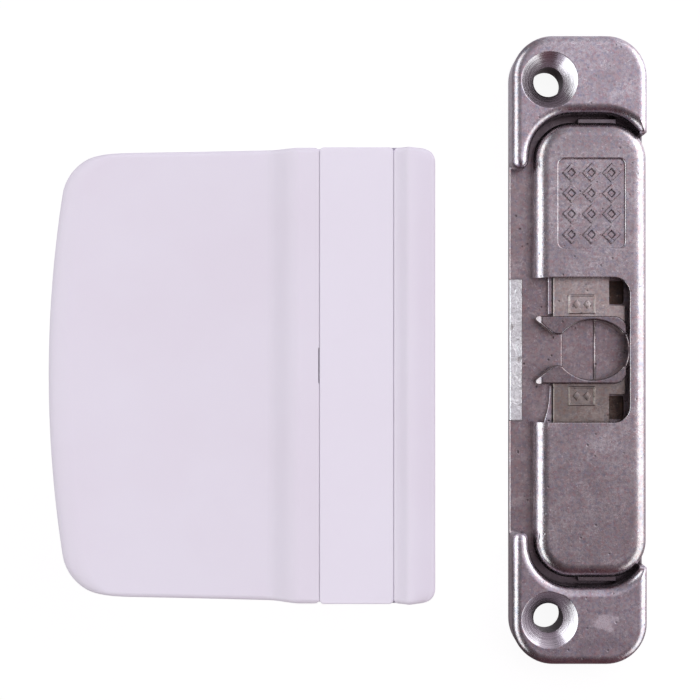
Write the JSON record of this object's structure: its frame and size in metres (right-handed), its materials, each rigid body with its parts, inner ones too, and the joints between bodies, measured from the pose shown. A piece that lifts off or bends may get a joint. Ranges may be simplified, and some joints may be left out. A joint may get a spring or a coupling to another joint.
{
  "type": "snap latch and pull handle set",
  "caption": "Die-cast snap latch with twin sprung jaws that catch a locking pin, beside its moulded pull handle with a snap-off screw cover.",
  "frame": {"origin": "middle of the whole set, on the plane of the two mounting faces", "axes": "+Z out of the mounting faces towards the viewer, +Y along both pieces, +X across them from the handle to the catch"},
  "size_m": [0.0936, 0.1, 0.0253],
  "materials": {
    "nickelled_zinc": "satin, finely grained die casting",
    "jaw_zinc": "satin, warmer and slightly duller",
    "raw_zinc": "pale, matte and dented",
    "spring_steel": "drawn wire",
    "white_plastic": "fine-textured satin moulding"
  },
  "bodies": {
    "catch": {"base_frame": "nickelled_zinc", "housing_cover": "nickelled_zinc", "entry_strip": "raw_zinc", "upper_inner_rivet": "spring_steel", "upper_outer_left_rivet": "spring_steel", "upper_outer_right_rivet": "spring_steel", "lower_inner_rivet": "spring_steel", "lower_outer_left_rivet": "spring_steel", "lower_outer_right_rivet": "spring_steel", "upper_left_guide_pin": "spring_steel", "upper_right_guide_pin": "spring_steel", "lower_left_guide_pin": "spring_steel", "lower_right_guide_pin": "spring_steel", "upper_left_spring": "spring_steel", "upper_right_spring": "spring_steel", "lower_left_spring": "spring_steel", "lower_right_spring": "spring_steel"},
    "upper_jaw": {"upper_jaw": "jaw_zinc"},
    "lower_jaw": {"lower_jaw": "jaw_zinc"},
    "handle": {"handle_body": "white_plastic"},
    "screw_cover": {"screw_cover": "white_plastic"}
  },
  "joints": [
    {"name": "upper_jaw_slide", "type": "slide", "parent": "catch", "child": "upper_jaw", "axis": [0, 1, 0], "range_m": [0, 0.0028], "stiffness_N_per_m": 1600, "springref_m": -0.003, "deforming": ["upper_left_spring", "upper_right_spring"]},
    {"name": "lower_jaw_slide", "type": "slide", "parent": "catch", "child": "lower_jaw", "axis": [0, -1, 0], "range_m": [0, 0.0028], "stiffness_N_per_m": 1600, "springref_m": -0.003, "deforming": ["lower_left_spring", "lower_right_spring"]},
    {"name": "handle_draw", "type": "slide", "parent": "catch", "child": "handle", "axis": [-1, 0, 0], "range_m": [0, 0.04]},
    {"name": "screw_cover_lift", "type": "slide", "parent": "handle", "child": "screw_cover", "axis": [0, 0, 1], "range_m": [0, 0.018]}
  ]
}
